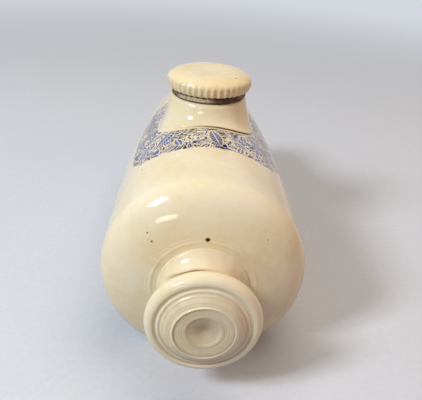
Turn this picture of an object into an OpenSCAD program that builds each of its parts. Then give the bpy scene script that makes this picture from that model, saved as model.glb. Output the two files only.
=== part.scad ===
// Stoneware hot water bottle lying on its flat side: a thrown, hollow body, a collar luted
// on top for the screw stopper and its rubber washer, and a turned carrying knob in front.
// Millimetres. The origin is on the resting plane, under the stopper's axis.
// Y runs along the body from the knob to the far end and Z is up.

/* [Body] */
// Outside diameter of the body at its widest
body_d = 101; // [94:1:110]
// Length of the body from its front face to its far end
body_len = 210; // [190:1:230]
// Height of the body's axis over the flat that it rests on
axis_height = 42; // [38:0.5:45]
// Thickness of the stoneware wall
wall = 7; // [5:0.5:8]
// Diameter of the flat front face that carries the knob
front_face_d = 52; // [52:0.5:60]
// Depth of the rounded front shoulder
shoulder_depth = 15; // [9:0.5:18]
// Distance behind the front face at which the body starts to narrow
barrel_start = 32; // [20:1:50]
// Radius that the body has lost by the far end
narrowing = 10; // [6:0.5:14]
// Radius of the rounded far edge
far_edge_r = 14; // [10:0.5:18]

/* [Collar] */
// Distance from the front face back to the stopper's axis
stopper_back = 106; // [95:1:120]
// Height of the collar's rim over the top of the body
rim_rise = 10.5; // [9:0.5:14]
// Outside diameter of the rim
rim_d = 45; // [43:0.5:48]
// Radius of the rim's outer edge
rim_edge_r = 1.5; // [0.5:0.1:2]
// Height of the hollow flank below the rim
flank_h = 11; // [9:0.5:13]
// Radius of the round skirt before its four sides are cut
skirt_r = 31; // [30:0.5:34]
// Width of the square foot, at the height of the body's top
foot_w = 53; // [52:0.5:58]
// Slope of the foot's four sides, in degrees
foot_slope = 8; // [4:0.5:12]
// Diameter of the mouth in which the stopper screws
mouth_d = 36; // [34:0.5:38]

/* [Knob] */
// Diameter of the knob
knob_d = 52; // [50:0.5:58]
// Thickness of the knob's disc
knob_t = 8.2; // [8:0.2:12]
// Depth of the disc's oval edge, towards its axis
knob_edge_r = 3.4; // [2:0.1:4.4]
// Distance from the body's front face to the front of the knob's rim
knob_reach = 28.5; // [26:0.5:36]
// Diameter of the grip at its narrowest
grip_d = 34; // [30:0.5:40]
// Diameter of the ridge where the grip meets the body
ridge_d = 51; // [49:0.5:52]
// Height of that ridge
ridge_h = 0.8; // [0.4:0.1:1.5]
// Length over which the grip flares out to the ridge
flare_len = 9; // [5:0.5:12]
// Depth of the groove between the knob's rim and the boss in its face
groove_depth = 0.7; // [0.5:0.1:2]
// Diameter of the boss at its crest
crest_d = 27.4; // [24:0.2:30]
// Height of the crest in front of the rim
crest_rise = 3.4; // [1:0.1:5]
// Depth of the dish inside the crest
dish_depth = 2; // [0.5:0.1:3]

/* [Stopper] */
// Diameter of the cap at its widest
cap_d = 49; // [46:0.5:54]
// Thickness of the cap
cap_h = 10; // [8:0.2:12]
// Distance that the edge of the cap's underside lies inside its widest part
sole_inset = 2; // [1.4:0.1:3.5]
// Height of the widest part over the underside
cap_widest_h = 4.8; // [3:0.2:5.4]
// Diameter of the cap's flat crown
crown_d = 24; // [16:0.5:32]
// Number of finger flutes round the cap
flutes = 42; // [30:1:46]
// Radius of one flute
flute_r = 1.4; // [1.2:0.05:1.5]
// Length of the shank below the rim
shank_len = 14; // [12:0.5:14]
// Diameter of the waist that holds the washer
waist_d = 30; // [26:0.5:30]
// Length of the waist below the rim
waist_drop = 1.5; // [1:0.1:2.5]
// Bevel at the shank's tip
tip_bevel = 1.5; // [0.5:0.1:2.5]
// Play of the thread in the mouth, all round
thread_play = 0.6; // [0.4:0.05:0.8]

/* [Washer] */
// Thickness of the rubber washer
washer_t = 4; // [3:0.2:5]
// Outside diameter of the washer
washer_d = 44; // [42:0.5:45]
// Bulge of its outer edge
washer_bulge = 1.2; // [0.5:0.1:1.5]
// Gap between the washer and the stopper's waist
washer_gap = 0.3; // [0.2:0.05:0.5]

/* [Hidden] */
$fn = 96;
arc_steps = 10;
zone_steps = 8;
spare = 1;

body_r = body_d/2;
front_face_r = front_face_d/2;
narrowing_len = body_len - far_edge_r - barrel_start;
barrel_r = (pow(narrowing_len, 2) + pow(narrowing, 2))/(2*narrowing);
far_angle = asin(narrowing_len/(barrel_r - far_edge_r));
far_face_r = body_r - barrel_r + (barrel_r - far_edge_r)*cos(far_angle);

body_top = axis_height + body_r;
rim_z = body_top + rim_rise;
rim_r = rim_d/2;
mouth_r = mouth_d/2;

knob_r = knob_d/2;
knob_face_r = knob_r - knob_edge_r;
crest_r = crest_d/2;
groove_r = (crest_r + 3*knob_face_r)/4;
face_zones = [knob_face_r, groove_r, crest_r, 0];

cap_r = cap_d/2;
sole_r = cap_r - sole_inset;
crown_r = crown_d/2;
sole_z = rim_z + washer_t;
widest_z = sole_z + cap_widest_h;
flute_tilt = atan2(sole_inset, cap_widest_h);
shank_r = mouth_r - thread_play;
waist_r = waist_d/2;
waist_z = rim_z - waist_drop;
tip_z = rim_z - shank_len;

washer_r = washer_d/2;

// Points of an elliptical arc, from one angle to another.
function arc(centre, radii, from, to) =
    [for (i = [0 : arc_steps])
        let (a = from + (to - from)*i/arc_steps)
        centre + [radii.x*cos(a), radii.y*sin(a)]];

// Half section of the body as [radius, distance from the front face], drawn in by inset.
function body_section(inset) = concat(
    [[0, inset]],
    arc([front_face_r, shoulder_depth],
        [body_r - front_face_r - inset, shoulder_depth - inset], -90, 0),
    arc([body_r - barrel_r, barrel_start], [1, 1]*(barrel_r - inset), 0, far_angle),
    arc([far_face_r, body_len - far_edge_r], [1, 1]*(far_edge_r - inset), far_angle, 90),
    [[0, body_len - inset]]);

// A smooth step from 0 to 1.
function ease(t) = (1 - cos(180*t))/2;

// Distance of the knob's face from the body: a groove inside the rim, then a boss with a dish.
function knob_face(r) =
    r > groove_r ?
        knob_reach - groove_depth*ease((knob_face_r - r)/(knob_face_r - groove_r)) :
    r > crest_r ?
        knob_reach - groove_depth
        + (groove_depth + crest_rise)*ease((groove_r - r)/(groove_r - crest_r)) :
        knob_reach + crest_rise - dish_depth*(1 - pow(r/crest_r, 2));

// Places a shape turned about Z onto the body's axis, with its base on the front face.
module on_body_axis() {
    translate([0, -stopper_back, axis_height])
        rotate([-90, 0, 0])
            children();
}

// The body's outline as a solid, drawn in by inset and flat underneath.
module body_form(inset) {
    intersection() {
        on_body_axis()
            rotate_extrude()
                polygon(body_section(inset));
        translate([-body_r, -stopper_back, inset])
            cube([body_d, body_len, body_top]);
    }
}

// The round way through the collar and the wall of the body.
module mouth() {
    translate([0, 0, axis_height])
        cylinder(r = mouth_r, h = rim_z - axis_height + spare);
}

// Hollow thrown vessel with one wall thickness all round.
module bottle_body() {
    color("wheat")
        difference() {
            body_form(0);
            body_form(wall);
            mouth();
        }
}

// A block with two sloping sides that leave the foot's width at the height of the body's top.
module sloping_block() {
    low = foot_w/2 + body_r*tan(foot_slope);
    high = foot_w/2 - rim_rise*tan(foot_slope);
    rotate([90, 0, 0])
        linear_extrude(3*skirt_r, center = true)
            polygon([[-low, axis_height], [low, axis_height], [high, rim_z], [-high, rim_z]]);
}

// Collar: round at the rim, hollow in the flank, square at the foot, saddled on the body.
module neck_collar() {
    flank_top = rim_z - rim_edge_r;
    color("burlywood")
        difference() {
            intersection() {
                rotate_extrude()
                    polygon(concat(
                        [[0, axis_height], [skirt_r, axis_height]],
                        arc([skirt_r, flank_top], [-(skirt_r - rim_r), -flank_h], 90, 0),
                        arc([rim_r - rim_edge_r, flank_top], [1, 1]*rim_edge_r, 0, 90),
                        [[0, rim_z]]));
                sloping_block();
                rotate([0, 0, 90])
                    sloping_block();
            }
            body_form(0);
            mouth();
        }
}

// Turned knob: a grip hollowed between a ridge on the body and a disc with an oval edge and a boss.
module carrying_knob() {
    grip_r = grip_d/2;
    ridge_r = ridge_d/2;
    disc_back = knob_reach - knob_t;
    flare_end = ridge_h + flare_len;
    neck_end = flare_end + (disc_back - flare_end)/3;
    edge_centre = [knob_face_r, disc_back + knob_t/2];
    edge_radii = [knob_edge_r, knob_t/2];
    color("tan")
        translate([0, -stopper_back, axis_height])
            rotate([90, 0, 0])
                rotate_extrude()
                    polygon(concat(
                        [[0, 0], [ridge_r, 0], [ridge_r, ridge_h]],
                        arc([ridge_r, flare_end], [grip_r - ridge_r, -flare_len], 90, 0),
                        arc([knob_face_r, neck_end], [grip_r - knob_face_r, disc_back - neck_end], 0, 90),
                        arc(edge_centre, edge_radii, 90/arc_steps - 90, 0),
                        arc(edge_centre, edge_radii, 90/arc_steps, 90),
                        [for (zone = [0 : 2], i = [1 : zone_steps])
                            let (r = face_zones[zone]
                                + (face_zones[zone + 1] - face_zones[zone])*i/zone_steps)
                            [r, knob_face(r)]]));
}

// Stopper: a pebble-shaped cap with flutes round its lower edge, on a waisted shank.
module screw_stopper() {
    flute_len = 3*cap_widest_h;
    color("bisque")
        difference() {
            rotate_extrude()
                polygon(concat(
                    [[0, tip_z], [shank_r - tip_bevel, tip_z], [shank_r, tip_z + tip_bevel],
                     [shank_r, waist_z], [waist_r, waist_z], [waist_r, sole_z]],
                    arc([sole_r, widest_z], [sole_inset, cap_widest_h], -90, 0),
                    arc([crown_r, widest_z], [cap_r - crown_r, cap_h - cap_widest_h], 0, 90),
                    [[0, sole_z + cap_h]]));
            for (i = [0 : flutes - 1])
                rotate([0, 0, 360*i/flutes])
                    translate([(sole_r + cap_r)/2, 0, (sole_z + widest_z)/2])
                        rotate([0, flute_tilt, 0])
                            translate([flute_r, 0, -flute_len/2])
                                cylinder(r = flute_r, h = flute_len);
        }
}

// Rubber washer, clamped between the rim and the cap.
module sealing_washer() {
    color("saddlebrown")
        translate([0, 0, rim_z])
            rotate_extrude()
                polygon(concat(
                    [[waist_r + washer_gap, washer_t], [waist_r + washer_gap, 0]],
                    arc([washer_r - washer_bulge, washer_t/2], [washer_bulge, washer_t/2], -90, 90)));
}

bottle_body();
neck_collar();
carrying_knob();
screw_stopper();
sealing_washer();
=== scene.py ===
import math

import bpy
import numpy as np
from mathutils import Matrix, Vector


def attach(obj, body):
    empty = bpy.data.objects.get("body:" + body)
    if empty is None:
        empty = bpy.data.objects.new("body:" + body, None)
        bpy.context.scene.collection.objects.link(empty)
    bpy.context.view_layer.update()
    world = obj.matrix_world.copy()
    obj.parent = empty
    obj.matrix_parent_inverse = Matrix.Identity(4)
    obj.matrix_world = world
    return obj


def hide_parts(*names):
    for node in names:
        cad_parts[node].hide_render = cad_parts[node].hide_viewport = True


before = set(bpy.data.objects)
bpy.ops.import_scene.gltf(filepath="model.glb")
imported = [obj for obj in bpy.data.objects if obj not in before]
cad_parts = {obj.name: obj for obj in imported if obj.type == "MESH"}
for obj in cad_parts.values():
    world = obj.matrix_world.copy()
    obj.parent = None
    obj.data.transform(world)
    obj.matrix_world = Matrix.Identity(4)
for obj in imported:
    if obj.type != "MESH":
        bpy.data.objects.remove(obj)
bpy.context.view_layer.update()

# Bottle body
# A lying stoneware barrel with a flat to rest on, closed at both ends, its wall 7 mm thick.
# It is pressed in a mould, printed on top with a cobalt transfer and dipped in cream glaze.

MM = 0.001
BODY_RADIUS = 50.5
BODY_LENGTH = 210.0
AXIS_HEIGHT = 42.0
BODY_WALL = 7.0
FRONT_END = -106.0
FRONT_FACE_RADIUS = 26.0
SHOULDER_DEPTH = 15.0
BARREL_START = 32.0
NARROWING = 10.0
FAR_EDGE_RADIUS = 14.0
REST_EDGE_SOFTNESS = 4.0
MOUTH_RADIUS = 18.0
MOUTH_LOW, MOUTH_HIGH = 60.0, 120.0
FRONT_FACE_RINGS = 11
FAR_FACE_RINGS = 15


def linear(hex_colour):
    """sRGB hex to linear RGBA: a channel c becomes ((c + 0.055) / 1.055) ** 2.4, or c / 12.92
    near black."""
    c = np.array([int(hex_colour[i : i + 2], 16) for i in (1, 3, 5)]) / 255
    return (*np.where(c > 0.04045, ((c + 0.055) / 1.055) ** 2.4, c / 12.92), 1.0)


def add(tree, kind, inputs=None, stops=None, **settings):
    """Adds one node. Settings are its properties, inputs are values, nodes or sockets by socket
    name or number, and stops are the places and colours on a colour ramp."""
    made = tree.nodes.new(kind)
    for key, value in settings.items():
        setattr(made, key, value)
    for key, value in (inputs or {}).items():
        if isinstance(value, bpy.types.Node):
            value = value.outputs[0]
        if isinstance(value, bpy.types.NodeSocket):
            tree.links.new(value, made.inputs[key])
        else:
            made.inputs[key].default_value = value
    for i, (place, colour) in enumerate(stops or []):
        ramp = made.color_ramp.elements
        stop = ramp[i] if i < 2 else ramp.new(place)
        stop.position = place
        stop.color = linear(colour)
    return made


def skin(name, rings, tips=(False, False), looped=False, **marks):
    """Mesh over rings of points: point j of ring i is rings[i, j], and each ring closes on itself.
    A tip draws its end ring into one point, looped joins the last ring to the first, and marks
    are values at the points. Faces point outwards, where the signed volume is positive."""
    rows, columns = rings.shape[:2]
    index = np.arange(rows * columns).reshape(rows, columns)
    index[0] = index[0, 0] if tips[0] else index[0]
    index[-1] = index[-1, 0] if tips[1] else index[-1]
    lower = index if looped else index[:-1]
    upper = np.roll(index, -1, axis=0) if looped else index[1:]
    quads = np.stack([lower, np.roll(lower, -1, 1), np.roll(upper, -1, 1), upper], -1)
    kept, quads = np.unique(quads.reshape(-1, 4), return_inverse=True)
    quads = quads.reshape(-1, 4)
    points = rings.reshape(-1, 3)[kept] * MM
    a, b, c, d = (points[quads[:, k]] for k in range(4))
    volume = np.sum(a * np.cross(b, c)) + np.sum(a * np.cross(c, d))
    quads = quads[:, ::-1] if volume < 0 else quads
    triangular = (quads == np.roll(quads, -1, 1)).any(1)
    thin = quads[triangular]
    repeated = thin == np.roll(thin, -1, 1)
    triangles = thin[~repeated].reshape(-1, 3)
    mesh = bpy.data.meshes.new(name)
    mesh.from_pydata(points.tolist(), [], quads[~triangular].tolist() + triangles.tolist())
    mesh.polygons.foreach_set("use_smooth", np.ones(len(mesh.polygons), bool))
    for mark, values in marks.items():
        layer = mesh.attributes.new(mark, "FLOAT", "POINT")
        at_points = np.broadcast_to(values, (rows, columns)).reshape(-1)[kept]
        layer.data.foreach_set("value", at_points.astype(np.float32))
    made = bpy.data.objects.new(name, mesh)
    bpy.context.scene.collection.objects.link(made)
    return made


def bow(centre, radii, start, end, count):
    """Points of an elliptical bow in a half section: centre + radii * (cos, sin), from start to
    end in degrees."""
    turn = np.radians(np.linspace(start, end, count))
    return np.stack([centre[0] + radii[0] * np.cos(turn), centre[1] + radii[1] * np.sin(turn)], 1)


def barrel_section(inset):
    """Half section as (radius, distance from the front end): a shoulder bow, the long barrel bow
    and the far edge, each drawn in by inset, between two flat ends that run to the axis."""
    run = BODY_LENGTH - FAR_EDGE_RADIUS - BARREL_START
    radius = (run**2 + NARROWING**2) / (2 * NARROWING)
    angle = math.degrees(math.asin(run / (radius - FAR_EDGE_RADIUS)))
    far_face = BODY_RADIUS - radius + (radius - FAR_EDGE_RADIUS) * math.cos(math.radians(angle))
    shoulder = bow(
        (FRONT_FACE_RADIUS, SHOULDER_DEPTH),
        (BODY_RADIUS - FRONT_FACE_RADIUS - inset, SHOULDER_DEPTH - inset),
        -90, 0, 44,
    )
    barrel = bow(
        (BODY_RADIUS - radius, BARREL_START), (radius - inset, radius - inset), 0, angle, 96
    )
    far_edge = bow(
        (far_face, BODY_LENGTH - FAR_EDGE_RADIUS),
        (FAR_EDGE_RADIUS - inset, FAR_EDGE_RADIUS - inset),
        angle, 90, 24,
    )
    front_r = np.linspace(0, FRONT_FACE_RADIUS, FRONT_FACE_RINGS + 1)[:-1]
    front = np.stack([front_r, np.full(FRONT_FACE_RINGS, inset)], 1)
    back_r = np.linspace(far_face, 0, FAR_FACE_RINGS + 1)[1:]
    back = np.stack([back_r, np.full(FAR_FACE_RINGS, BODY_LENGTH - inset)], 1)
    return np.concatenate([front, shoulder, barrel, far_edge[1:], back])


def barrel_rings(inset, columns):
    """The section turned round the barrel's axis, its underside eased on to the resting plane:
    the height is max(z, 0) plus (softness - |z|)^2 / (4 softness) where |z| is below softness."""
    section = barrel_section(inset)
    around = np.linspace(0, 2 * np.pi, columns, endpoint=False)
    radius, along = section[:, :1], section[:, 1:]
    x = radius * np.sin(around)
    z = AXIS_HEIGHT + radius * np.cos(around) - inset
    ease = np.clip(REST_EDGE_SOFTNESS - np.abs(z), 0, None) ** 2 / (4 * REST_EDGE_SOFTNESS)
    z = np.maximum(z, 0) + ease + inset
    return np.stack([x, FRONT_END + along + 0 * x, z], -1)


def upright_tube(radius, low, high, columns):
    """A closed cylinder on the stopper's axis, for boring the mouth: four rings, of radius 0 at
    both ends."""
    around = np.linspace(0, 2 * np.pi, columns, endpoint=False)
    reach = np.array([0, radius, radius, 0])[:, None]
    height = np.array([low, low, high, high])[:, None]
    return np.stack([reach * np.cos(around), reach * np.sin(around), height + 0 * around], -1)


bottle_body = skin("bottle_body", barrel_rings(0, 220), tips=(True, True))
hollow = skin("hollow", barrel_rings(BODY_WALL, 160), tips=(True, True))
bore = skin("bore", upright_tube(MOUTH_RADIUS, MOUTH_LOW, MOUTH_HIGH, 96), tips=(True, True))
for tool in (hollow, bore):
    cut = bottle_body.modifiers.new(tool.name, "BOOLEAN")
    cut.operation = "DIFFERENCE"
    cut.solver = "EXACT"
    cut.object = tool
bpy.context.view_layer.update()
hollowed = bottle_body.evaluated_get(bpy.context.evaluated_depsgraph_get())
body_mesh = bpy.data.meshes.new_from_object(hollowed)
bottle_body.modifiers.clear()
bottle_body.data = body_mesh
for tool in (hollow, bore):
    bpy.data.objects.remove(tool)

CREAM_GLAZE = ("#ebddb9", "#e6d3a7", "#f0e5ca")
GLAZE_ROUGHNESS = 0.10
GLAZE_IOR = 1.52
CLAY_ROUGHNESS = 0.7
CLOUD_SIZE = 28 * MM
MOTTLE_SIZE = 4 * MM
MOTTLE_SHARE = 0.35
SPECK_SPACING = 11 * MM
SPECK_REACH = 0.055
RIPPLE_SIZE = 7 * MM
RIPPLE_HEIGHT = 0.35 * MM
STAIN_AND_SHADE_STRENGTH = 1.7


def stoneware_glaze(name, pale, warm, thin_glaze, roughness):
    """A feldspar and zinc glaze on stoneware: cream, clouded where it pooled, with iron specks
    drawn up from the clay. One point value brings in brown, as dirt and as painted shade, and bare
    brings in unglazed clay. Returns the material, its tree, its shader, the place on the piece and
    the colour node."""
    material = bpy.data.materials.new(name)
    material.use_nodes = True
    tree = material.node_tree
    shader = tree.nodes["Principled BSDF"]
    place = add(tree, "ShaderNodeTexCoord").outputs["Object"]
    clouds = add(
        tree, "ShaderNodeTexNoise", {"Vector": place, "Scale": 1 / CLOUD_SIZE, "Detail": 3.0}
    )
    mottle = add(
        tree, "ShaderNodeTexNoise", {"Vector": place, "Scale": 1 / MOTTLE_SIZE, "Detail": 4.0}
    )
    both = add(
        tree, "ShaderNodeMath", {0: mottle, 1: MOTTLE_SHARE, 2: clouds}, operation="MULTIPLY_ADD"
    )
    glaze = add(
        tree, "ShaderNodeValToRGB", {"Fac": both},
        stops=[(0.42, warm), (0.62, pale), (0.88, thin_glaze)],
    )
    cells = add(tree, "ShaderNodeTexVoronoi", {"Vector": place, "Scale": 1 / SPECK_SPACING})
    luck = add(tree, "ShaderNodeSeparateColor", {"Color": cells.outputs["Color"]})
    reach = add(
        tree, "ShaderNodeMapRange",
        {"Value": luck.outputs["Red"], "From Min": 0.55, "From Max": 1.0, "To Max": SPECK_REACH},
    )
    inside = add(
        tree, "ShaderNodeMath", {0: reach, 1: cells.outputs["Distance"]}, operation="SUBTRACT"
    )
    speck = add(
        tree, "ShaderNodeMapRange",
        {"Value": inside, "From Min": -0.012, "From Max": 0.02, "To Max": 0.75},
    )
    speckled = add(
        tree, "ShaderNodeMix", {"Factor": speck, 6: glaze, 7: linear("#6b4526")}, data_type="RGBA"
    )
    # Brown mixed in here is dirt and painted shade in grooves, hollows, recesses and creases.
    stain = add(tree, "ShaderNodeAttribute", attribute_name="stain")
    patchy = add(
        tree, "ShaderNodeMath", {0: stain.outputs["Fac"], 1: clouds}, operation="MULTIPLY"
    )
    dirt_and_shade = add(
        tree, "ShaderNodeMath",
        {0: patchy, 1: STAIN_AND_SHADE_STRENGTH}, operation="MULTIPLY", use_clamp=True,
    )
    stained = add(
        tree, "ShaderNodeMix",
        {"Factor": dirt_and_shade, 6: speckled.outputs[2], 7: linear("#7a4e1d")}, data_type="RGBA",
    )
    bare = add(tree, "ShaderNodeAttribute", attribute_name="bare")
    clay = add(
        tree, "ShaderNodeValToRGB", {"Fac": mottle}, stops=[(0.3, "#b09b76"), (0.7, "#c8b591")]
    )
    colour = add(
        tree, "ShaderNodeMix",
        {"Factor": bare.outputs["Fac"], 6: stained.outputs[2], 7: clay}, data_type="RGBA",
    )
    gloss = add(
        tree, "ShaderNodeMapRange",
        {
            "Value": mottle, "From Min": 0.3, "From Max": 0.7,
            "To Min": roughness * 0.8, "To Max": roughness * 1.3,
        },
    )
    dull = add(
        tree, "ShaderNodeMix",
        {"Factor": bare.outputs["Fac"], 2: gloss, 3: CLAY_ROUGHNESS}, data_type="FLOAT",
    )
    ripple = add(
        tree, "ShaderNodeTexNoise", {"Vector": place, "Scale": 1 / RIPPLE_SIZE, "Detail": 2.0}
    )
    bump = add(
        tree, "ShaderNodeBump", {"Height": ripple, "Strength": 0.25, "Distance": RIPPLE_HEIGHT}
    )
    tree.links.new(colour.outputs[2], shader.inputs["Base Color"])
    tree.links.new(dull.outputs[0], shader.inputs["Roughness"])
    tree.links.new(bump.outputs[0], shader.inputs["Normal"])
    shader.inputs["IOR"].default_value = GLAZE_IOR
    return material, tree, shader, place, colour


# The cobalt transfer is a trimmed sheet of engraved foliage laid round the neck, so its drawing is
# worked out flat, in mm: the arc over the barrel's crown and the length along it, then the bearing
# and distance from the stopper's axis. Its lines are coarser than engraved ones, so that they show.
BARREL_RADIUS_AT_NECK = BODY_RADIUS - 1
WANDER_SIZE = 5.0
WASH_SIZE = 14.0
LEAF_ROWS = (
    # leaves round the neck, turn as a share of one step, then in mm the middle, half length and
    # half width of a leaf, and its lean in degrees
    (9, 0.36, 42.0, 11.0, 3.2, 6),
    (9, 0.70, 38.0, 5.5, 1.9, -34),
    (9, 0.98, 48.0, 6.0, 2.0, 34),
    (18, 0.60, 55.0, 5.0, 1.8, -30),
    (26, 0.20, 64.0, 5.0, 2.0, 25),
)
VEIN_SLANT = 1.2
VEIN_SPACING = 2.4
FAR_FROM_LEAVES = -9.0

body_glaze, tree, shader, place, cream = stoneware_glaze(
    "cream_glaze_over_cobalt_transfer", *CREAM_GLAZE, GLAZE_ROUGHNESS
)
apart = add(tree, "ShaderNodeSeparateXYZ", {0: place})
lift = add(
    tree, "ShaderNodeMath", {0: apart.outputs["Z"], 1: AXIS_HEIGHT * MM}, operation="SUBTRACT"
)
round_barrel = add(tree, "ShaderNodeMath", {0: apart.outputs["X"], 1: lift}, operation="ARCTAN2")
arc = add(
    tree, "ShaderNodeMath", {0: round_barrel, 1: BARREL_RADIUS_AT_NECK}, operation="MULTIPLY"
)
length = add(tree, "ShaderNodeMath", {0: apart.outputs["Y"], 1: 1 / MM}, operation="MULTIPLY")
sheet = add(tree, "ShaderNodeCombineXYZ", {0: arc, 1: length})
from_front = add(tree, "ShaderNodeMath", {0: length, 1: -1.0}, operation="MULTIPLY")
bearing = add(tree, "ShaderNodeMath", {0: arc, 1: from_front}, operation="ARCTAN2")
away = add(tree, "ShaderNodeVectorMath", {0: sheet}, operation="LENGTH").outputs["Value"]
wander = add(
    tree, "ShaderNodeTexNoise", {"Vector": sheet, "Scale": 1 / WANDER_SIZE, "Detail": 2.0}
)
wash = add(tree, "ShaderNodeTexNoise", {"Vector": sheet, "Scale": 1 / WASH_SIZE, "Detail": 3.0})

# A leaf is half_width * (1 - (along / half_length)^2) wide on each side of its bare rib, and
# slanting veins comb it. Near is how far inside the nearest leaf a point lies, in mm.
leaves = 0.0
near = FAR_FROM_LEAVES
for count, turn, middle, half_length, half_width, lean in LEAF_ROWS:
    step = add(
        tree, "ShaderNodeMath",
        {0: bearing, 1: count / (2 * math.pi), 2: turn}, operation="MULTIPLY_ADD",
    )
    share = add(tree, "ShaderNodeMath", {0: step}, operation="FRACT")
    off_axis = add(tree, "ShaderNodeMath", {0: share, 1: 0.5}, operation="SUBTRACT")
    width = add(tree, "ShaderNodeMath", {0: off_axis, 1: away}, operation="MULTIPLY")
    across = add(tree, "ShaderNodeMath", {0: width, 1: 2 * math.pi / count}, operation="MULTIPLY")
    outward = add(tree, "ShaderNodeMath", {0: away, 1: middle}, operation="SUBTRACT")
    flat = add(tree, "ShaderNodeCombineXYZ", {0: across, 1: outward})
    leant = add(
        tree, "ShaderNodeVectorRotate",
        {"Vector": flat, "Angle": math.radians(lean)}, rotation_type="Z_AXIS",
    )
    blade_place = add(tree, "ShaderNodeSeparateXYZ", {0: leant})
    side = add(tree, "ShaderNodeMath", {0: blade_place.outputs["X"]}, operation="ABSOLUTE")
    along = blade_place.outputs["Y"]
    reach = add(tree, "ShaderNodeMath", {0: along, 1: half_length}, operation="DIVIDE")
    square = add(tree, "ShaderNodeMath", {0: reach, 1: reach}, operation="MULTIPLY")
    swell = add(
        tree, "ShaderNodeMath",
        {0: square, 1: -half_width, 2: half_width}, operation="MULTIPLY_ADD",
    )
    inside = add(tree, "ShaderNodeMath", {0: swell, 1: side}, operation="SUBTRACT")
    blade = add(tree, "ShaderNodeMapRange", {"Value": inside, "From Min": -0.1, "From Max": 0.2})
    rib = add(tree, "ShaderNodeMapRange", {"Value": side, "From Min": 0.15, "From Max": 0.4})
    slant = add(
        tree, "ShaderNodeMath", {0: side, 1: -VEIN_SLANT, 2: along}, operation="MULTIPLY_ADD"
    )
    comb = add(tree, "ShaderNodeMath", {0: slant, 1: VEIN_SPACING}, operation="DIVIDE")
    tooth = add(tree, "ShaderNodeMath", {0: comb}, operation="FRACT")
    vein = add(
        tree, "ShaderNodeMapRange",
        {"Value": tooth, "From Min": 0.10, "From Max": 0.24, "To Min": 0.1},
    )
    ribbed = add(tree, "ShaderNodeMath", {0: rib, 1: vein}, operation="MINIMUM")
    leaf = add(tree, "ShaderNodeMath", {0: blade, 1: ribbed}, operation="MULTIPLY")
    leaves = add(tree, "ShaderNodeMath", {0: leaves, 1: leaf}, operation="MAXIMUM")
    near = add(tree, "ShaderNodeMath", {0: near, 1: inside}, operation="MAXIMUM")

# Between the leaves, small leaflets fill the cells of a pattern that a swirl bends, and stems wind
# along the level lines of a slow noise.
CURL_SIZE = 9.0
CURL_REACH = 13.0
LEAFLET_WIDTH = 2.1
LEAFLET_LENGTH = 4.4
BLANK_SHARE = 0.06
STEM_SIZE = 8.0
STEM_COUNT = 11.0

curl = add(tree, "ShaderNodeTexNoise", {"Vector": sheet, "Scale": 1 / CURL_SIZE, "Detail": 1.0})
swirl = add(
    tree, "ShaderNodeVectorMath",
    {0: curl.outputs["Color"], 1: (CURL_REACH, CURL_REACH, 0.0), 2: sheet},
    operation="MULTIPLY_ADD",
)
slender = add(
    tree, "ShaderNodeVectorMath",
    {0: swirl, 1: (1 / LEAFLET_WIDTH, 1 / LEAFLET_LENGTH, 0.0)}, operation="MULTIPLY",
)
gaps = add(
    tree, "ShaderNodeTexVoronoi", {"Vector": slender, "Scale": 1.0}, feature="DISTANCE_TO_EDGE"
)
blades = add(tree, "ShaderNodeTexVoronoi", {"Vector": slender, "Scale": 1.0})
chance = add(tree, "ShaderNodeSeparateColor", {"Color": blades.outputs["Color"]})
leaflet = add(
    tree, "ShaderNodeMapRange",
    {"Value": gaps.outputs["Distance"], "From Min": 0.12, "From Max": 0.14},
)
chosen = add(
    tree, "ShaderNodeMath", {0: chance.outputs["Red"], 1: BLANK_SHARE}, operation="GREATER_THAN"
)
clear_of_leaves = add(
    tree, "ShaderNodeMapRange", {"Value": near, "From Min": -0.4, "From Max": -0.8}
)
filler = add(tree, "ShaderNodeMath", {0: leaflet, 1: chosen}, operation="MULTIPLY")
filler = add(tree, "ShaderNodeMath", {0: filler, 1: clear_of_leaves}, operation="MULTIPLY")
winding = add(tree, "ShaderNodeTexNoise", {"Vector": sheet, "Scale": 1 / STEM_SIZE, "Detail": 1.0})
turns = add(tree, "ShaderNodeMath", {0: winding, 1: STEM_COUNT}, operation="MULTIPLY")
between = add(tree, "ShaderNodeMath", {0: turns}, operation="FRACT")
off_stem = add(tree, "ShaderNodeMath", {0: between, 1: 0.5}, operation="SUBTRACT")
off_stem = add(tree, "ShaderNodeMath", {0: off_stem}, operation="ABSOLUTE")
stem = add(tree, "ShaderNodeMapRange", {"Value": off_stem, "From Min": 0.13, "From Max": 0.10})
stem = add(tree, "ShaderNodeMath", {0: stem, 1: clear_of_leaves}, operation="MULTIPLY")
drawn = add(tree, "ShaderNodeMath", {0: leaves, 1: filler}, operation="MAXIMUM")
ink = add(tree, "ShaderNodeMath", {0: drawn, 1: stem}, operation="MAXIMUM")
filler_tone = add(
    tree, "ShaderNodeMath", {0: chance.outputs["Green"], 1: stem}, operation="MAXIMUM"
)
leaf_tone = add(
    tree, "ShaderNodeMapRange",
    {"Value": near, "From Min": 0.3, "From Max": 0.8, "To Min": 0.9, "To Max": 0.3},
)
on_leaf = add(tree, "ShaderNodeMath", {0: near, 1: -0.2}, operation="GREATER_THAN")
tone = add(
    tree, "ShaderNodeMix", {"Factor": on_leaf, 2: filler_tone, 3: leaf_tone}, data_type="FLOAT"
)

# The sheet is trimmed to a squared oval, with another cut out of it for the neck, and the cobalt
# bleeds a little into the glaze between the lines.
# Each oval is its half arc, half length and middle in mm, and the power that squares it.
SHEET_OUTLINE = (49.0, 54.0, -2.0, 4.0)
NECK_CUTOUT = (29.6, 28.0, 0.0, 3.0)
OUTLINE_WANDER = 0.3
CUTOUT_WANDER = 0.25


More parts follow.
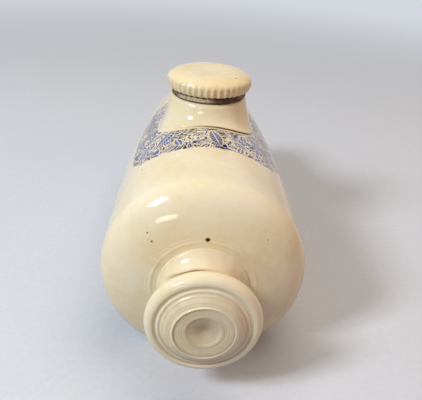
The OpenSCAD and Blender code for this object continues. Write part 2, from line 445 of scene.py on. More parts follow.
def squared_oval(half_arc, half_length, middle, power):
    """|arc / half arc|^power + |(length - middle) / half length|^power on the flat sheet, which
    is 1 on the oval's edge."""
    total = 0.0
    for place_on_sheet, centre, half in ((arc, 0.0, half_arc), (length, middle, half_length)):
        off = add(tree, "ShaderNodeMath", {0: place_on_sheet, 1: centre}, operation="SUBTRACT")
        part = add(tree, "ShaderNodeMath", {0: off, 1: half}, operation="DIVIDE")
        size = add(tree, "ShaderNodeMath", {0: part}, operation="ABSOLUTE")
        raised = add(tree, "ShaderNodeMath", {0: size, 1: power}, operation="POWER")
        total = add(tree, "ShaderNodeMath", {0: total, 1: raised}, operation="ADD")
    return total


edge = add(
    tree, "ShaderNodeMath",
    {0: wander, 1: OUTLINE_WANDER, 2: squared_oval(*SHEET_OUTLINE)}, operation="MULTIPLY_ADD",
)
within = add(tree, "ShaderNodeMapRange", {"Value": edge, "From Min": 1.18, "From Max": 1.13})
off_neck = add(
    tree, "ShaderNodeMath",
    {0: wander, 1: CUTOUT_WANDER, 2: squared_oval(*NECK_CUTOUT)}, operation="MULTIPLY_ADD",
)
beyond = add(tree, "ShaderNodeMapRange", {"Value": off_neck, "From Min": 1.10, "From Max": 1.16})
panel = add(tree, "ShaderNodeMath", {0: within, 1: beyond}, operation="MULTIPLY")
on_top = add(tree, "ShaderNodeMath", {0: lift, 1: 0.0}, operation="GREATER_THAN")
panel = add(tree, "ShaderNodeMath", {0: panel, 1: on_top}, operation="MULTIPLY")
strength = add(
    tree, "ShaderNodeMapRange",
    {"Value": wash, "From Min": 0.3, "From Max": 0.6, "To Min": 0.97},
)
printed = add(tree, "ShaderNodeMath", {0: ink, 1: panel}, operation="MULTIPLY")
printed = add(tree, "ShaderNodeMath", {0: printed, 1: strength}, operation="MULTIPLY")
cobalt = add(
    tree, "ShaderNodeValToRGB", {"Fac": tone},
    stops=[(0.25, "#1f35a6"), (0.5, "#0d1963"), (0.7, "#03061f")],
)
stipple = add(
    tree, "ShaderNodeMapRange",
    {"Value": wash, "From Min": 0.50, "From Max": 0.60, "To Max": 0.35},
)
stippled = add(tree, "ShaderNodeMath", {0: stipple, 1: panel}, operation="MULTIPLY")
ground = add(
    tree, "ShaderNodeMix",
    {"Factor": stippled, 6: cream.outputs[2], 7: linear("#6f86d2")}, data_type="RGBA",
)
decorated = add(
    tree, "ShaderNodeMix", {"Factor": printed, 6: ground.outputs[2], 7: cobalt}, data_type="RGBA"
)


def iron_spots(tree, place, colour, spots):
    """Melted iron grains that broke through the glaze: each is (x, y, z, radius) in mm, and its
    outer 0.4 fades. Returns the new colour node."""
    for x, y, z, radius in spots:
        gap = add(
            tree, "ShaderNodeVectorMath",
            {0: place, 1: (x * MM, y * MM, z * MM)}, operation="DISTANCE",
        )
        spot = add(
            tree, "ShaderNodeMapRange",
            {
                "Value": gap.outputs["Value"],
                "From Min": radius * MM, "From Max": radius * 0.6 * MM,
            },
        )
        colour = add(
            tree, "ShaderNodeMix",
            {"Factor": spot, 6: colour.outputs[2], 7: linear("#4a2205")}, data_type="RGBA",
        )
    return colour


SHOULDER_SPOTS = (
    (-26.9, -103.9, 69.5, 0.5),
    (-24.7, -105.0, 65.8, 0.6),
    (-26.4, -104.4, 66.6, 0.4),
    (28.0, -103.7, 68.6, 0.4),
)
spotted = iron_spots(tree, place, decorated, SHOULDER_SPOTS)
tree.links.new(spotted.outputs[2], shader.inputs["Base Color"])

bottle_body.data.materials.append(body_glaze)
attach(bottle_body, "bottle")
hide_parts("bottle_body")

# Carrying knob
# A disc on a short hollowed stem, turned on the wheel and luted on the body's front end while damp.
# The finger left a ringed boss with a dish in its face, where the glaze lies thin and dull.

KNOB_RADIUS = 26.0
KNOB_THICKNESS = 8.2
KNOB_EDGE = 3.4
KNOB_REACH = 28.5
KNOB_SINK = 2.0
GRIP_RADIUS = 17.0
COVE_RADIUS = 7.6
COVE_START = -113
NECK_LENGTH = 4.5
RIDGE_RADIUS = 25.2
RIDGE_WIDTH = 0.8
RIDGE_RISE = 0.22
FOOT_MARGIN = 3.0
FOOT_SKIN = 0.05
FOOT_DIP = 0.3
DIP_START = 2.0
FACE_RADIUS = KNOB_RADIUS - KNOB_EDGE
FACE_RING_COUNT = 130
FACE_GROOVE_RADIUS = 20.9
FACE_GROOVE_DEPTH = 0.4
CREST_RADIUS = 13.7
CREST_RISE = 3.4
CREST_DOME = 0.4
CREST_SHIFT = 0.35
CREST_BEAD = 0.60
BEAD_WIDTH = 0.45
BEAD_WORN_SIDE = 1.55
FACE_RINGS = (
    # middle, width and rise in mm, and the power that squares the ring's bell shape
    (19.8, 0.5, 0.42, 2),
    (18.0, 0.5, 0.24, 2),
    (16.4, 0.6, 0.16, 2),
)
DISH_RINGS = (
    # the same, measured from the middle of the dish
    (8.0, 0.9, 0.30, 2),
    (0.0, 7.2, -1.25, 3),
    (0.0, 2.8, -0.55, 2),
)
DISH_LIFT = 0.9
TURNING_MARKS = 0.035
TURNING_PITCH = 1.05
# Radii of grooves browned by dirt and by painted shade, which is heaviest at the bottom
GROOVE_DIRT_AND_SHADE = (21.3, 18.9, 12.9)
GROOVE_LINE = 0.4
PALE_RIDGES = (20.1, 14.1)
RIDGE_LINE = 0.5
FACE_WEAR = 0.36
NECK_DIRT_AND_SHADE = 0.4
# A brown line on the neck just behind the disc, on its upper left: dirt and painted shade.
BROWN_LINE_REACH = 10.6
BROWN_LINE_WIDTH = 1.2
BROWN_LINE_SIDE = -0.47
BROWN_LINE_STRENGTH = 0.9


def from_dish(radius, around):
    """Distance from the middle of the dish, which lies a little above the barrel's axis."""
    return np.hypot(radius * np.sin(around), radius * np.cos(around) - DISH_LIFT)


def knob_face(radius, around):
    """Height of the face before the rim: eased down into a groove, eased up to the crest of a boss
    and domed inside it by dome (1 - (r / crest)^2), with bell-shaped rings, fine turning marks and
    a bead on the crest that dies away on one side."""
    def ease(t):
        return 0.5 - 0.5 * np.cos(np.pi * np.clip(t, 0, 1))
    crest = CREST_RADIUS + CREST_SHIFT * np.sin(around)
    groove = -FACE_GROOVE_DEPTH * ease((FACE_RADIUS - radius) / (FACE_RADIUS - FACE_GROOVE_RADIUS))
    slope = ease((FACE_GROOVE_RADIUS - radius) / (FACE_GROOVE_RADIUS - crest))
    dome = CREST_DOME * np.clip(1 - (radius / crest) ** 2, 0, 1)
    height = groove + (FACE_GROOVE_DEPTH + CREST_RISE) * slope + dome
    for rings, away in ((FACE_RINGS, radius), (DISH_RINGS, from_dish(radius, around))):
        for middle, width, rise, power in rings:
            height = height + rise * np.exp(-(np.abs((away - middle) / width) ** power))
    worn = np.clip(np.cos(around - BEAD_WORN_SIDE) / 0.6, 0, 1)
    bead = np.exp(-(((radius - crest) / BEAD_WIDTH) ** 2))
    marks = np.sin(2 * np.pi * radius / TURNING_PITCH) * np.clip((FACE_RADIUS - radius) / 2, 0, 1)
    return height + CREST_BEAD * (1 - 0.8 * worn) * bead + TURNING_MARKS * marks


def knob_section():
    """Half section as (radius, distance out from the body's end): a flat ring with one low ridge
    that lies on the body's end, a cove, the neck, the disc's edge and its face, still flat."""
    back = KNOB_REACH - KNOB_THICKNESS
    neck_end = COVE_RADIUS + NECK_LENGTH
    cove = bow(
        (GRIP_RADIUS + COVE_RADIUS, COVE_RADIUS), (COVE_RADIUS, COVE_RADIUS), COVE_START, -180, 30
    )
    neck_out = COVE_RADIUS + np.linspace(0, NECK_LENGTH, 10)[1:-1]
    neck = np.stack([np.full(len(neck_out), GRIP_RADIUS), neck_out], 1)
    behind = bow((FACE_RADIUS, neck_end), (FACE_RADIUS - GRIP_RADIUS, back - neck_end), 180, 90, 16)
    foot_r = np.linspace(RIDGE_RADIUS + FOOT_MARGIN, cove[0, 0] + 0.3, 36)
    ridge = RIDGE_RISE * np.exp(-(((foot_r - RIDGE_RADIUS) / RIDGE_WIDTH) ** 2))
    dip = FOOT_DIP * np.clip(foot_r - RIDGE_RADIUS - DIP_START, 0, 1) ** 2
    foot = np.stack([foot_r, FOOT_SKIN + ridge - dip], 1)
    base = np.array([[0.0, -KNOB_SINK], [12.0, -KNOB_SINK], [foot_r[0], -KNOB_SINK]])
    half_thickness = KNOB_THICKNESS / 2
    rim = bow((FACE_RADIUS, back + half_thickness), (KNOB_EDGE, half_thickness), -90, 90, 32)[1:]
    face_r = np.linspace(FACE_RADIUS, 0, FACE_RING_COUNT + 1)[1:]
    face = np.stack([face_r, np.full(FACE_RING_COUNT, KNOB_REACH)], 1)
    return np.concatenate([base, foot, cove, neck, behind, rim, face])


def knob_rings(columns):
    """The knob's section turned round the barrel's axis, with its face raised. Brown dirt and
    painted shade lie as a bell round each groove, heaviest at the bottom, over the dish, heaviest
    at its middle and upper left, in the recess behind the disc and along a line just behind the
    disc on its upper left."""
    around = np.linspace(0, 2 * np.pi, columns, endpoint=False)
    section = knob_section()
    radius, out = section[:, :1], section[:, 1:]
    on_face = (np.arange(len(section)) >= len(section) - FACE_RING_COUNT)[:, None]
    # A brown line on the neck just behind the disc, on its upper left: dirt and painted shade.
    side = np.clip((np.cos(around - BROWN_LINE_SIDE) - 0.66) / 0.24, 0, 1)
    brown_line_place = BROWN_LINE_REACH - BROWN_LINE_REACH * (1 - np.cos(around)) + 0.25 * np.sin(7 * around)
    brown_line = BROWN_LINE_STRENGTH * side * np.exp(-(((out - brown_line_place) / BROWN_LINE_WIDTH) ** 2))
    back = KNOB_REACH - KNOB_THICKNESS
    # The recess behind the disc is browned: dirt and painted shade.
    dirt_and_shade = NECK_DIRT_AND_SHADE * np.clip((out - COVE_RADIUS) / 3, 0, 1) * np.clip((back - out) / 4, 0, 1)
    # The grooves are browned, heaviest at the bottom, where less light falls: dirt and painted
    # shade.
    lines = sum(np.exp(-(((radius - middle) / GROOVE_LINE) ** 2)) for middle in GROOVE_DIRT_AND_SHADE)
    lines = lines * (0.35 - 0.3 * np.cos(around))
    # The dish is browned at its middle and most on its upper left wall, which faces away from the
    # key lamp: dirt and painted shade.
    dish = from_dish(radius, around)
    lines = lines + (0.35 + 0.2 * np.cos(around + 0.8)) * np.exp(-((dish / 8.5) ** 4))
    lines = lines + 0.4 * np.exp(-((dish / 3.5) ** 2))
    stain = np.where(on_face, np.maximum(lines, 0), np.maximum(dirt_and_shade, brown_line))
    worn = np.clip((KNOB_RADIUS - 1 - radius) / 6, 0, 1)
    ridges = sum(np.exp(-(((radius - middle) / RIDGE_LINE) ** 2)) for middle in PALE_RIDGES)
    bare = np.where(on_face, FACE_WEAR * worn * (1 - 0.9 * np.clip(ridges, 0, 1)), 0)
    out = out + np.where(on_face, knob_face(radius, around), 0)
    x, z = radius * np.sin(around), AXIS_HEIGHT + radius * np.cos(around)
    return np.stack([x, FRONT_END - out, z], -1), stain, bare


rings, stain, bare = knob_rings(240)
carrying_knob = skin("carrying_knob", rings, tips=(True, True), stain=stain, bare=bare)
knob_glaze, tree, shader, place, cream = stoneware_glaze(
    "cream_glaze_worn_on_face", *CREAM_GLAZE, GLAZE_ROUGHNESS
)
FOOT_SPOT = (0.5, -106.2, 68.7, 1.4)
spotted = iron_spots(tree, place, cream, [FOOT_SPOT])
tree.links.new(spotted.outputs[2], shader.inputs["Base Color"])
carrying_knob.data.materials.append(knob_glaze)
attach(carrying_knob, "bottle")
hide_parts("carrying_knob")

# Neck collar
# A thick ring of clay with a squared foot, cut to the barrel's curve and luted over the mouth.
# Its flank sweeps in to a round rim, and a coarse thread is moulded in its bore for the stopper.

RIM_HEIGHT = 103.0
RIM_RADIUS = 22.5
RIM_EDGE = 3.0
BORE_EDGE = 1.2
BORE_SINK = 0.4
UNDER_SINK = 0.8
FOOT_HALF_X = 27.3
FOOT_HALF_Y = 26.4
FOOT_SQUARENESS = 3.0
FLANK_END_IN = 0.15
FLANK_END_HEIGHT = 1.35
HOLLOW_FROM = 0.33
HOLLOW_SPAN = 0.27
CRISP_SIDE = -0.55
FOOT_EDGE = np.array([
    # distance out from the foot's outline where it is cut sharp and where it is luted, height over
    # the barrel at both, and how much dirt and painted shade brown the crease where it is cut sharp
    (0.00, 0.05, 1.10, 1.10, 0.15),
    (0.04, 0.15, 0.85, 0.90, 0.5),
    (-0.02, 0.30, 0.65, 0.72, 0.9),
    (-0.18, 0.50, 0.52, 0.56, 1.0),
    (-0.20, 0.70, 0.40, 0.42, 1.0),
    (0.02, 0.95, 0.32, 0.30, 0.9),
    (0.35, 1.20, 0.22, 0.20, 0.6),
    (0.80, 1.50, 0.12, 0.10, 0.3),
    (1.20, 1.85, 0.04, 0.02, 0.1),
    (1.60, 2.20, -0.05, -0.08, 0.0),
])
THREAD_PITCH = 6.0
THREAD_RIDGE = 1.0
THREAD_RIDGE_HALF = 1.5


def thread_bead(height, around, half_width):
    """A right-hand helical bead, one turn per pitch: cos^2 of the distance along the axis from the
    nearest turn."""
    phase = (height / THREAD_PITCH - around / (2 * np.pi) + 0.5) % 1 - 0.5
    away = np.clip(np.abs(phase * THREAD_PITCH) / half_width, 0, 1)
    return np.cos(away * np.pi / 2) ** 2


def barrel_top(radius, around):
    """Height of the barrel's upper surface over a point at this distance and angle from the
    stopper's axis: axis height + sqrt(section radius^2 - x^2)."""
    outer = barrel_section(0)[FRONT_FACE_RINGS:-FAR_FACE_RINGS]
    across = np.interp(radius * np.sin(around) - FRONT_END, outer[:, 1], outer[:, 0])
    return AXIS_HEIGHT + np.sqrt(across**2 - (radius * np.cos(around)) ** 2)


def collar_rings(columns):
    """A profile carried round the mouth: up the threaded bore, over the rim, down a Hermite sweep
    to the squared foot, into a fine groove, out along a luted fillet that meets the barrel, and
    back underneath. The sweep is hollower where the foot reaches far out for its height."""
    around = np.linspace(0, 2 * np.pi, columns, endpoint=False)
    foot = (
        np.abs(np.cos(around) / FOOT_HALF_X) ** FOOT_SQUARENESS
        + np.abs(np.sin(around) / FOOT_HALF_Y) ** FOOT_SQUARENESS
    ) ** (-1 / FOOT_SQUARENESS)
    low = barrel_top(MOUTH_RADIUS + 0 * around, around) - BORE_SINK
    rise = np.linspace(0, 1, 46)[:, None]
    bore_z = low + (RIM_HEIGHT - BORE_EDGE - low) * rise
    fade = np.clip((RIM_HEIGHT - 1.0 - bore_z) / 2.0, 0, 1)
    bore_r = MOUTH_RADIUS - THREAD_RIDGE * fade * thread_bead(bore_z, around, THREAD_RIDGE_HALF)
    lip = bow(
        (MOUTH_RADIUS + BORE_EDGE, RIM_HEIGHT - BORE_EDGE), (BORE_EDGE, BORE_EDGE), 180, 90, 7
    )[1:]
    brim = bow((RIM_RADIUS - RIM_EDGE, RIM_HEIGHT - RIM_EDGE), (RIM_EDGE, RIM_EDGE), 90, 0, 14)
    rim = np.concatenate([lip, brim])
    rim_r, rim_z = (rim[:, k : k + 1] + 0 * around for k in (0, 1))
    edge_r = foot - FLANK_END_IN
    edge_z = barrel_top(edge_r, around) + FLANK_END_HEIGHT
    t = np.linspace(0, 1, 30)[1:, None]
    drop = rim_z[-1] - edge_z
    start, leave = 2 * t**3 - 3 * t**2 + 1, t**3 - 2 * t**2 + t
    end, arrive = -2 * t**3 + 3 * t**2, t**3 - t**2
    widen = edge_r - RIM_RADIUS
    hollow = np.clip((widen / drop - HOLLOW_FROM) / HOLLOW_SPAN, 0, 1)
    leave_r, arrive_r = leave * widen * (0.7 - 0.35 * hollow), arrive * widen * (1.3 + 0.7 * hollow)
    leave_z, arrive_z = leave * drop * (1.1 + 0.1 * hollow), arrive * drop * (0.9 - 0.3 * hollow)
    sweep_r = start * rim_r[-1] + leave_r + end * edge_r + arrive_r
    sweep_z = start * rim_z[-1] - leave_z + end * edge_z - arrive_z
    crisp = 0.5 + 0.5 * np.cos(around - CRISP_SIDE)
    cut_r, luted_r, cut_h, luted_h, foot_stain = FOOT_EDGE.T[:, :, None]
    lower_r = foot + crisp * cut_r + (1 - crisp) * luted_r
    lower_z = barrel_top(lower_r, around) + crisp * cut_h + (1 - crisp) * luted_h
    under_r = np.stack([lower_r[-1] - 0.4, MOUTH_RADIUS + 0.6 + 0 * around])
    under_z = barrel_top(under_r, around) - UNDER_SINK
    r = np.concatenate([bore_r, rim_r, sweep_r, lower_r, under_r])
    z = np.concatenate([bore_z, rim_z, sweep_z, lower_z, under_z])
    # The crease along the foot's sharp side is browned: dirt and painted shade.
    stain = np.zeros_like(r)
    first = len(bore_r) + len(rim_r) + len(sweep_r)
    stain[first : first + len(FOOT_EDGE)] = foot_stain
    stain = stain * np.clip((crisp - 0.5) / 0.35, 0, 1)
    bare = np.zeros_like(r)
    bare[: len(bore_r) + 4] = 1.0
    return np.stack([r * np.cos(around), r * np.sin(around), z], -1), stain, bare


rings, stain, bare = collar_rings(288)
neck_collar = skin("neck_collar", rings, looped=True, stain=stain, bare=bare)
collar_glaze = stoneware_glaze(
    "cream_glaze_on_collar", "#ebdcb2", "#e5d19f", "#f0e4c5", GLAZE_ROUGHNESS
)[0]
neck_collar.data.materials.append(collar_glaze)
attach(neck_collar, "bottle")
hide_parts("neck_collar")

# Sealing washer
# A ring of natural rubber cut from sheet, held on the stopper's waist and squeezed on to the rim.
# Heat and age have hardened it, so its edge is uneven, cracked and faded in patches.

WASHER_LOW = 103.0
WASHER_HIGH = 107.0
WASHER_BORE = 15.3
WASHER_RADIUS = 22.0
WASHER_SHRINK = 0.3
WASHER_BULGE = 1.2
WASHER_FLAT = 2.4
EDGE_WAVES = (
    # depth in mm, waves round the washer, turn in radians
    (0.16, 5, 1.0),
    (0.12, 11, 2.1),
    (0.08, 23, 0.4),
)
CRACK_DEPTH = 0.10
RUBBER_IOR = 1.52
RUBBER_ROUGHNESS = 0.75
FADING_SIZE = 9 * MM
CRUMB_SIZE = 1.2 * MM
CRUMB_HEIGHT = 0.3 * MM
FADED_AND_LIT_PATCH = (-9.0, -20.0, 105.0)
FADED_AND_LIT_REACH = 13 * MM
FADED_AND_LIT_CORE = 8 * MM


def washer_rings(columns):
    """A rectangle with a bulged outer side carried round the axis: the side follows cos^0.6 of the
    swing from its middle, and wanders by sums of sines."""
    around = np.linspace(0, 2 * np.pi, columns, endpoint=False)
    half = (WASHER_HIGH - WASHER_LOW) / 2
    middle = (WASHER_HIGH + WASHER_LOW) / 2
    swing = np.radians(np.linspace(-90, 90, 25))[:, None]
    uneven = sum(depth * np.sin(waves * around + turn) for depth, waves, turn in EDGE_WAVES)
    cracks = CRACK_DEPTH * np.sin(4.5 * np.sin(swing) + 3 * np.sin(3 * around)) * np.cos(swing)
    bulged_r = WASHER_RADIUS - WASHER_SHRINK - WASHER_BULGE * (1 - np.cos(swing) ** 0.6)
    outer_r = bulged_r + (uneven + cracks) * np.cos(swing) ** 0.3
    outer_z = middle + half * np.sin(swing) + 0 * around
    inner_r = np.linspace(WASHER_RADIUS - WASHER_FLAT, WASHER_BORE, 8)[:, None] + 0 * around
    bore_z = np.linspace(WASHER_HIGH, WASHER_LOW, 8)[1:-1, None] + 0 * around
    r = np.concatenate([outer_r, inner_r, 0 * bore_z + WASHER_BORE, inner_r[::-1]])
    z = np.concatenate([outer_z, 0 * inner_r + WASHER_HIGH, bore_z, 0 * inner_r + WASHER_LOW])
    return np.stack([r * np.cos(around), r * np.sin(around), z], -1)


sealing_washer = skin("sealing_washer", washer_rings(240), looped=True)
# Perished rubber is matt and grainy and pale where it has dried out, with one paler patch on the
# front left that is faded rubber and painted light. Its top and bottom edges, under the cap and on
# the rim, are painted almost black as shade.
rubber = bpy.data.materials.new("perished_brown_rubber")
rubber.use_nodes = True
tree = rubber.node_tree
shader = tree.nodes["Principled BSDF"]
place = add(tree, "ShaderNodeTexCoord").outputs["Object"]
fade = add(tree, "ShaderNodeTexNoise", {"Vector": place, "Scale": 1 / FADING_SIZE, "Detail": 5.0})
crumb = add(tree, "ShaderNodeTexNoise", {"Vector": place, "Scale": 1 / CRUMB_SIZE, "Detail": 4.0})
mixed = add(tree, "ShaderNodeMath", {0: crumb, 1: 0.4, 2: fade}, operation="MULTIPLY_ADD")
tint = add(
    tree, "ShaderNodeValToRGB", {"Fac": mixed},
    stops=[(0.55, "#1f130b"), (0.72, "#553a24"), (0.9, "#8d7257")],
)
# A paler patch on the front left, towards the key lamp: faded rubber and painted light.
gap = add(
    tree, "ShaderNodeVectorMath",
    {0: place, 1: tuple(c * MM for c in FADED_AND_LIT_PATCH)}, operation="DISTANCE",
)
faded = add(
    tree, "ShaderNodeMapRange",
    {"Value": gap.outputs["Value"], "From Min": FADED_AND_LIT_REACH, "From Max": FADED_AND_LIT_CORE},
)
flaky = add(
    tree, "ShaderNodeMapRange",
    {"Value": crumb, "From Min": 0.38, "From Max": 0.55, "To Min": 0.35},
)
faded = add(tree, "ShaderNodeMath", {0: faded, 1: flaky}, operation="MULTIPLY")
tint = add(
    tree, "ShaderNodeMix", {"Factor": faded, 6: tint, 7: linear("#cbb999")}, data_type="RGBA"
)
apart = add(tree, "ShaderNodeSeparateXYZ", {0: place})
mid_height = (WASHER_LOW + WASHER_HIGH) / 2 * MM
off_middle = add(
    tree, "ShaderNodeMath", {0: apart.outputs["Z"], 1: mid_height}, operation="SUBTRACT"
)
off_middle = add(tree, "ShaderNodeMath", {0: off_middle}, operation="ABSOLUTE")
# Painted shade: darker near the top and bottom edges, almost black.
painted_edge_shade = add(
    tree, "ShaderNodeMapRange", {"Value": off_middle, "From Min": 0.7 * MM, "From Max": 1.5 * MM}
)
tint = add(
    tree, "ShaderNodeMix",
    {"Factor": painted_edge_shade, 6: tint.outputs[2], 7: linear("#120a05")}, data_type="RGBA",
)
grain = add(tree, "ShaderNodeBump", {"Height": crumb, "Strength": 0.6, "Distance": CRUMB_HEIGHT})
tree.links.new(tint.outputs[2], shader.inputs["Base Color"])
tree.links.new(grain.outputs[0], shader.inputs["Normal"])
shader.inputs["Roughness"].default_value = RUBBER_ROUGHNESS
shader.inputs["IOR"].default_value = RUBBER_IOR
sealing_washer.data.materials.append(rubber)
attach(sealing_washer, "washer")
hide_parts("sealing_washer")

# Screw stopper
# A pressed stoneware plug: a pebble-shaped cap, fluted for the fingers, on a waist and a shank.
# The cap is glazed like the bottle, and the threaded shank stays bare so as not to fuse in firing.

CAP_RADIUS = 24.5
CAP_TOP = 117.0
CAP_WIDEST = 111.8
SOLE_RADIUS = 22.5
CROWN_RADIUS = 12.0
CROWN_DIMPLE = 0.45
FLUTES = 42
FLUTE_DEPTH = 0.65
FLUTE_HEIGHT = 6.8
FLUTE_FADE = 3.0
FLUTE_NARROWNESS = 2.5
FLUTE_DIRT_AND_SHADE = 0.35
FLUTED_UPPER_RINGS = 12
SHANK_RADIUS = 17.4
SHANK_TIP = 89.0
SHANK_TOP = 101.5
WAIST_RADIUS = 15.0
TIP_BEVEL = 1.5
GROOVE_DEPTH = 1.6
GROOVE_HALF = 2.4
CAP_SPOT = (14.6, -12.0, 116.1, 0.55)


def stopper_rings(columns):
    """A profile turned round the stopper's axis: threaded shank, waist, sole, fluted lower bow and
    domed upper bow. Flutes are scooped in by 1 - (2.5 u)^2 where that is positive, u being the
    share of a flute's width from its middle."""
    around = np.linspace(0, 2 * np.pi, columns, endpoint=False)
    tip = np.array([
        [0.0, SHANK_TIP], [8.0, SHANK_TIP], [SHANK_RADIUS - TIP_BEVEL - 0.6, SHANK_TIP],
    ])
    shank_z = np.linspace(SHANK_TIP + 0.4, SHANK_TOP, 44)
    bevel = np.clip(SHANK_TIP + TIP_BEVEL - shank_z, 0, None)
    shank = np.stack([SHANK_RADIUS - bevel, shank_z], 1)
    waist = np.array([
        [SHANK_RADIUS - 0.5, SHANK_TOP + 0.15],
        [WAIST_RADIUS + 0.1, SHANK_TOP + 0.2],
        [WAIST_RADIUS, SHANK_TOP + 0.6],
        [WAIST_RADIUS, WASHER_HIGH - 0.4],
        [WAIST_RADIUS + 0.3, WASHER_HIGH],
        [SOLE_RADIUS - 0.8, WASHER_HIGH],
    ])
    lower = bow(
        (SOLE_RADIUS, CAP_WIDEST), (CAP_RADIUS - SOLE_RADIUS, CAP_WIDEST - WASHER_HIGH), -90, 0, 26
    )
    upper = bow(
        (CROWN_RADIUS, CAP_WIDEST), (CAP_RADIUS - CROWN_RADIUS, CAP_TOP - CAP_WIDEST), 0, 90, 28
    )[1:]
    crown_r = np.linspace(CROWN_RADIUS, 0, 16)[1:]
    dimple = CROWN_DIMPLE * (0.5 + 0.5 * np.cos(np.pi * crown_r / CROWN_RADIUS))
    crown = np.stack([crown_r, CAP_TOP - dimple], 1)
    section = np.concatenate([tip, shank, waist, lower, upper, crown])
    r = section[:, :1] + 0 * around
    z = section[:, 1:] + 0 * around
    first = len(tip)
    sides = slice(first, first + len(shank))
    fade = np.clip((SHANK_TOP - 0.6 - z[sides]) / 1.5, 0, 1)
    r[sides] = r[sides] - GROOVE_DEPTH * fade * thread_bead(z[sides], around, GROOVE_HALF)
    sole = first + len(shank) + len(waist)
    under = slice(sole, sole + len(lower) + FLUTED_UPPER_RINGS)
    u = (around * FLUTES / (2 * np.pi)) % 1 - 0.5
    ending = np.clip((WASHER_HIGH + FLUTE_HEIGHT - z[under]) / FLUTE_FADE, 0, 1) ** 0.8
    scoop = np.clip(1 - (FLUTE_NARROWNESS * u) ** 2, 0, 1) * ending
    drift = 0.15 * np.sin(3 * around + 0.6)
    chatter = 0.15 * np.sin(13 * around) * np.sin(8 * around + 1)
    uneven = 0.8 + drift + chatter
    r[under] = r[under] - FLUTE_DEPTH * uneven * scoop
    bare = np.zeros_like(r)
    bare[: sole - 1] = 1.0
    # The flutes' hollows are browned: dirt and painted shade.
    stain = np.zeros_like(r)
    stain[under] = FLUTE_DIRT_AND_SHADE * uneven * scoop
    return np.stack([r * np.cos(around), r * np.sin(around), z], -1), stain, bare


rings, stain, bare = stopper_rings(FLUTES * 12)
screw_stopper = skin("screw_stopper", rings, tips=(True, True), stain=stain, bare=bare)
stopper_glaze, tree, shader, place, cream = stoneware_glaze(
    "cream_glaze_on_stopper", "#ead8ab", "#e1ca94", "#efe1bf", 0.14
)
spotted = iron_spots(tree, place, cream, [CAP_SPOT])
tree.links.new(spotted.outputs[2], shader.inputs["Base Color"])
screw_stopper.data.materials.append(stopper_glaze)
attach(screw_stopper, "stopper")
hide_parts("screw_stopper")

# Table and backdrop
# A plain pale sheet under soft studio light: a key lamp at the left, a weak one in front,
# a broad one behind and a warm fill at the right.

SHEET_HALF = 4.0
FADE_START, FADE_END = 0.35, 1.1
PAPER_GRAIN = 3 * MM
PAPER_ROUGHNESS = 0.9
ROOM_STRENGTH = 0.22
BACKDROP = linear("#d3d7de")

floor_mesh = bpy.data.meshes.new("floor")
corners = [(x * SHEET_HALF, y * SHEET_HALF, 0) for x, y in ((-1, -1), (1, -1), (1, 1), (-1, 1))]
floor_mesh.from_pydata(corners, [], [(0, 1, 2, 3)])
floor = bpy.data.objects.new("floor", floor_mesh)
bpy.context.scene.collection.objects.link(floor)
# Matt paper shows no gloss. It throws back less light than it shows, so that the object isn't lit
# from below.
paper = bpy.data.materials.new("matt_pale_paper")
paper.use_nodes = True
tree = paper.node_tree
shader = tree.nodes["Principled BSDF"]
place = add(tree, "ShaderNodeTexCoord").outputs["Object"]
grain = add(tree, "ShaderNodeTexNoise", {"Vector": place, "Scale": 1 / PAPER_GRAIN, "Detail": 3.0})
tint = add(
    tree, "ShaderNodeValToRGB", {"Fac": grain}, stops=[(0.3, "#cdd3dd"), (0.7, "#d2d8e2")]
)
path = add(tree, "ShaderNodeLightPath")
thrown_back = add(
    tree, "ShaderNodeMix",
    {"Factor": path.outputs["Is Diffuse Ray"], 6: tint, 7: linear("#7d8598")}, data_type="RGBA",
)
tree.links.new(thrown_back.outputs[2], shader.inputs["Base Color"])
shader.inputs["Roughness"].default_value = PAPER_ROUGHNESS


def seen(tree):
    """1 for a ray from the camera, a mirror or a clear piece, which shows the backdrop, and 0 for
    one that lights."""
    path = add(tree, "ShaderNodeLightPath")
    either = add(
        tree, "ShaderNodeMath",
        {0: path.outputs["Is Camera Ray"], 1: path.outputs["Is Glossy Ray"]}, operation="MAXIMUM",
    )
    return add(
        tree, "ShaderNodeMath",
        {0: either, 1: path.outputs["Is Transmission Ray"]}, operation="MAXIMUM",
    )


# Away from the object the sheet fades into the backdrop, so that no horizon shows.
distance = add(tree, "ShaderNodeVectorMath", {0: place}, operation="LENGTH")
fading = add(
    tree, "ShaderNodeMapRange",
    {"Value": distance.outputs["Value"], "From Min": FADE_START, "From Max": FADE_END},
    interpolation_type="SMOOTHSTEP",
)
faded = add(tree, "ShaderNodeMath", {0: fading, 1: seen(tree)}, operation="MULTIPLY")
glow = add(tree, "ShaderNodeEmission", {"Color": BACKDROP, "Strength": 1.0})
sheet_end = add(tree, "ShaderNodeMixShader", {0: faded, 1: shader, 2: glow})
tree.links.new(sheet_end.outputs[0], tree.nodes["Material Output"].inputs["Surface"])
floor.data.materials.append(paper)

world = bpy.data.worlds.new("soft_room")
world.use_nodes = True
tree = world.node_tree
room = tree.nodes["Background"]
room.inputs["Color"].default_value = linear("#e6e8ec")
room.inputs["Strength"].default_value = ROOM_STRENGTH
backdrop = add(tree, "ShaderNodeBackground", {"Color": BACKDROP, "Strength": 1.0})
either = add(tree, "ShaderNodeMixShader", {0: seen(tree), 1: room, 2: backdrop})
tree.links.new(either.outputs[0], tree.nodes["World Output"].inputs["Surface"])
bpy.context.scene.world = world

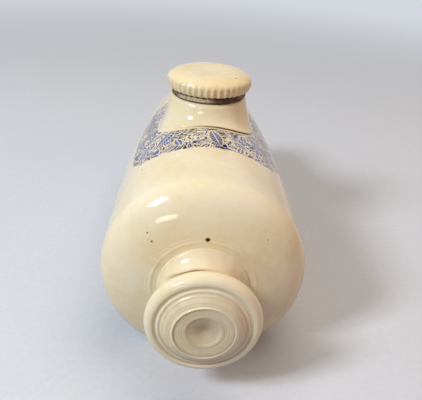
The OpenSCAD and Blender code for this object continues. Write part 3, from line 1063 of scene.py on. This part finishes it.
LAMPS = (
    # name, place, aim, width and height in metres, watts, colour, whether the glaze mirrors it
    ("window_key", (-0.76, -0.53, 0.78), (0, -0.03, 0.06), 0.26, 0.26, 10.2, "#f8fbff", True),
    ("front_window", (-0.42, -1.05, 0.24), (0, -0.05, 0.05), 0.26, 0.14, 1.0, "#fff8ee", True),
    ("back_sheet", (0.20, 0.30, 1.10), (0, 0, 0.06), 1.00, 0.70, 6.2, "#fff2de", False),
    ("warm_fill", (0.85, -0.40, 0.36), (0, 0, 0.05), 0.60, 0.45, 2.2, "#ffb472", False),
)
for name, spot, aim, lamp_width, lamp_height, watts, colour, mirrored in LAMPS:
    light = bpy.data.lights.new(name, "AREA")
    light.shape = "RECTANGLE"
    light.size = lamp_width
    light.size_y = lamp_height
    light.energy = watts
    light.color = linear(colour)[:3]
    lamp = bpy.data.objects.new(name, light)
    turn = (Vector(aim) - Vector(spot)).to_track_quat("-Z", "Y")
    lamp.matrix_world = Matrix.Translation(spot) @ turn.to_matrix().to_4x4()
    lamp.visible_glossy = mirrored
    bpy.context.scene.collection.objects.link(lamp)

# Camera
# Set at the photograph's viewing angle: from above the knob end, looking down along the barrel.
# Its place and its lens are those of a pinhole camera fitted to the object's outlines.

EYE = (-0.01085, -0.31452, 0.2026)
PITCH, YAW, ROLL = 28.53, 3.125, 4.39
FOCAL_PIXELS, FRAME_PIXELS = 550, 422
SENSOR_WIDTH = 36

lens = bpy.data.cameras.new("camera")
lens.sensor_width = SENSOR_WIDTH
lens.lens = SENSOR_WIDTH * FOCAL_PIXELS / FRAME_PIXELS
lens.clip_start = 0.01
camera = bpy.data.objects.new("camera", lens)
camera.matrix_world = (
    Matrix.Translation(EYE)
    @ Matrix.Rotation(math.radians(-YAW), 4, "Z")
    @ Matrix.Rotation(math.radians(90 - PITCH), 4, "X")
    @ Matrix.Rotation(math.radians(ROLL), 4, "Z")
)
bpy.context.scene.collection.objects.link(camera)
bpy.context.scene.camera = camera
bpy.context.scene.view_settings.view_transform = "Standard"
